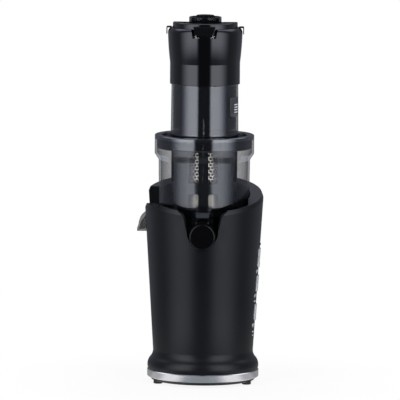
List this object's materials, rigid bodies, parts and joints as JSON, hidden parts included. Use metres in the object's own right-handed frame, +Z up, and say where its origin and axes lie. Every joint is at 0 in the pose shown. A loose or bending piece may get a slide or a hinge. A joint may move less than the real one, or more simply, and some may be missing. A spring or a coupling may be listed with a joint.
{
  "type": "cold press juicer",
  "caption": "Upright slow juicer with a round casing, clear drum with strainer, wiper and auger, flip spout cap, pulp chute, wide feed tube, nested pushers and side push buttons.",
  "frame": {"origin": "on the worktop, on the axis of the auger and drive shaft", "axes": "+Z up along the auger's axis, -Y towards the juice spout, -X towards the pulp chute, +X towards the buttons"},
  "size_m": [0.1515, 0.1498, 0.442],
  "materials": {
    "base_black": "satin",
    "ring_silver": "brushed around the ring",
    "foot_rubber": "matte",
    "casing_black": "satin black",
    "deck_black": "satin",
    "screw_steel": "zinc plated",
    "silicone": "soft silicone",
    "motor_steel": "plated sheet steel",
    "frame_plastic": "moulded",
    "lamination_steel": "stacked laminations",
    "copper_wire": "enamelled wire",
    "bearing_steel": "ground",
    "shaft_steel": "ground",
    "fan_plastic": "moulded",
    "gear_nylon": "natural nylon",
    "button_silver": "silver lacquer",
    "board_green": "solder mask",
    "switch_black": "moulded",
    "smoky_clear": "smoky transparent",
    "chute_grey": "smoky moulded",
    "cap_black": "gloss",
    "strainer_steel": "perforated sheet",
    "strainer_plastic": "moulded",
    "wiper_smoke": "dark smoky",
    "auger_grey": "moulded",
    "tube_clear": "smoky transparent",
    "collar_black": "gloss black",
    "pusher_black": "gloss black",
    "pusher_cap": "gloss"
  },
  "bodies": {
    "base": {"base_plate": "base_black", "trim_ring": "ring_silver", "rubber_feet": "foot_rubber", "casing_shell": "casing_black", "casing_screws": "screw_steel", "top_deck": "deck_black", "deck_seal": "silicone", "motor_can": "motor_steel", "motor_end_plate": "motor_steel", "motor_cradle": "frame_plastic", "motor_stator": "lamination_steel", "motor_windings": "copper_wire", "motor_bearings": "bearing_steel", "gearbox_housing": "gear_nylon", "gearbox_cover": "motor_steel", "gearbox_screws": "screw_steel", "drive_bearing": "bearing_steel", "button_frame": "frame_plastic", "control_board": "board_green", "tact_switches": "switch_black", "status_lens": "switch_black", "power_board": "board_green", "board_parts": "switch_black", "safety_switch": "switch_black", "cord_inlet": "foot_rubber"},
    "rotor": {"motor_shaft": "shaft_steel", "rotor_core": "lamination_steel", "cooling_fan": "fan_plastic", "sun_gear": "shaft_steel"},
    "planet_1": {"planet_gear_1": "gear_nylon"},
    "planet_2": {"planet_gear_2": "gear_nylon"},
    "planet_3": {"planet_gear_3": "gear_nylon"},
    "drive": {"planet_carrier": "shaft_steel", "drive_shaft": "shaft_steel"},
    "top_button": {"button_top": "button_silver"},
    "middle_button": {"button_middle": "button_silver"},
    "bottom_button": {"button_bottom": "button_silver"},
    "drum": {"drum_bowl": "smoky_clear", "pulp_chute": "chute_grey", "drum_seal": "silicone", "pulp_flap": "silicone", "idler_pin": "shaft_steel", "cap_pin": "shaft_steel", "strainer_mesh": "strainer_steel", "strainer_frame": "strainer_plastic"},
    "cap": {"juice_cap": "cap_black", "cap_gasket": "silicone"},
    "wiper": {"wiper_frame": "wiper_smoke", "wiper_blades": "silicone"},
    "auger": {"auger_screw": "auger_grey", "auger_insert": "shaft_steel", "auger_gear": "gear_nylon"},
    "idler": {"idler_gear": "gear_nylon"},
    "hopper": {"feed_tube": "tube_clear", "lid_gasket": "silicone", "feed_collar": "collar_black"},
    "large_pusher": {"pusher_body": "pusher_black", "pusher_disc": "pusher_black"},
    "inner_pusher": {"small_pusher": "pusher_black", "small_pusher_cap": "pusher_cap"}
  },
  "joints": [
    {"name": "motor_spin", "type": "hinge", "parent": "base", "child": "rotor", "pos_m": [0, 0, 0.1], "axis": [0, 0, 1], "continuous": true},
    {"name": "drive_spin", "type": "hinge", "parent": "base", "child": "drive", "pos_m": [0, 0, 0.15], "axis": [0, 0, 1], "continuous": true},
    {"name": "planet_1_spin", "type": "hinge", "parent": "drive", "child": "planet_1", "pos_m": [0.018, 0, 0.136], "axis": [0, 0, 1], "continuous": true},
    {"name": "planet_2_spin", "type": "hinge", "parent": "drive", "child": "planet_2", "pos_m": [-0.009, 0.01559, 0.136], "axis": [0, 0, 1], "continuous": true},
    {"name": "planet_3_spin", "type": "hinge", "parent": "drive", "child": "planet_3", "pos_m": [-0.009, -0.01559, 0.136], "axis": [0, 0, 1], "continuous": true},
    {"name": "drum_lift", "type": "slide", "parent": "base", "child": "drum", "axis": [0, 0, 1], "range_m": [0, 0.06]},
    {"name": "auger_spin", "type": "hinge", "parent": "drum", "child": "auger", "pos_m": [0, 0, 0.24], "axis": [0, 0, 1], "continuous": true},
    {"name": "idler_spin", "type": "hinge", "parent": "drum", "child": "idler", "pos_m": [0.0225, 0, 0.207], "axis": [0, 0, 1], "continuous": true},
    {"name": "wiper_spin", "type": "hinge", "parent": "drum", "child": "wiper", "pos_m": [0, 0, 0.24], "axis": [0, 0, 1], "continuous": true},
    {"name": "cap_flip", "type": "hinge", "parent": "drum", "child": "cap", "pos_m": [0, -0.07, 0.1993], "axis": [-1, 0, 0], "range_deg": [0, 78]},
    {"name": "hopper_turn", "type": "hinge", "parent": "drum", "child": "hopper", "pos_m": [0, 0, 0.294], "axis": [0, 0, 1], "range_deg": [0, 20]},
    {"name": "large_pusher_slide", "type": "slide", "parent": "hopper", "child": "large_pusher", "axis": [0, 0, 1], "range_m": [0, 0.11]},
    {"name": "small_pusher_slide", "type": "slide", "parent": "large_pusher", "child": "inner_pusher", "axis": [0, 0, 1], "range_m": [0, 0.11]},
    {"name": "top_button_press", "type": "slide", "parent": "base", "child": "top_button", "axis": [-0.9976, 0.0698, 0], "range_m": [0, 0.0015], "stiffness_N_per_m": 600, "springref_m": -0.002},
    {"name": "middle_button_press", "type": "slide", "parent": "base", "child": "middle_button", "axis": [-0.9976, 0.0698, 0], "range_m": [0, 0.0015], "stiffness_N_per_m": 600, "springref_m": -0.002},
    {"name": "bottom_button_press", "type": "slide", "parent": "base", "child": "bottom_button", "axis": [-0.9976, 0.0698, 0], "range_m": [0, 0.0015], "stiffness_N_per_m": 600, "springref_m": -0.002}
  ],
  "couplings": [
    {"joint": "drive_spin", "follows": "motor_spin", "ratio": 0.16667},
    {"joint": "planet_1_spin", "follows": "motor_spin", "ratio": -0.41667},
    {"joint": "planet_2_spin", "follows": "motor_spin", "ratio": -0.41667},
    {"joint": "planet_3_spin", "follows": "motor_spin", "ratio": -0.41667},
    {"joint": "auger_spin", "follows": "motor_spin", "ratio": 0.16667},
    {"joint": "idler_spin", "follows": "motor_spin", "ratio": -0.33333},
    {"joint": "wiper_spin", "follows": "motor_spin", "ratio": -0.083333}
  ]
}
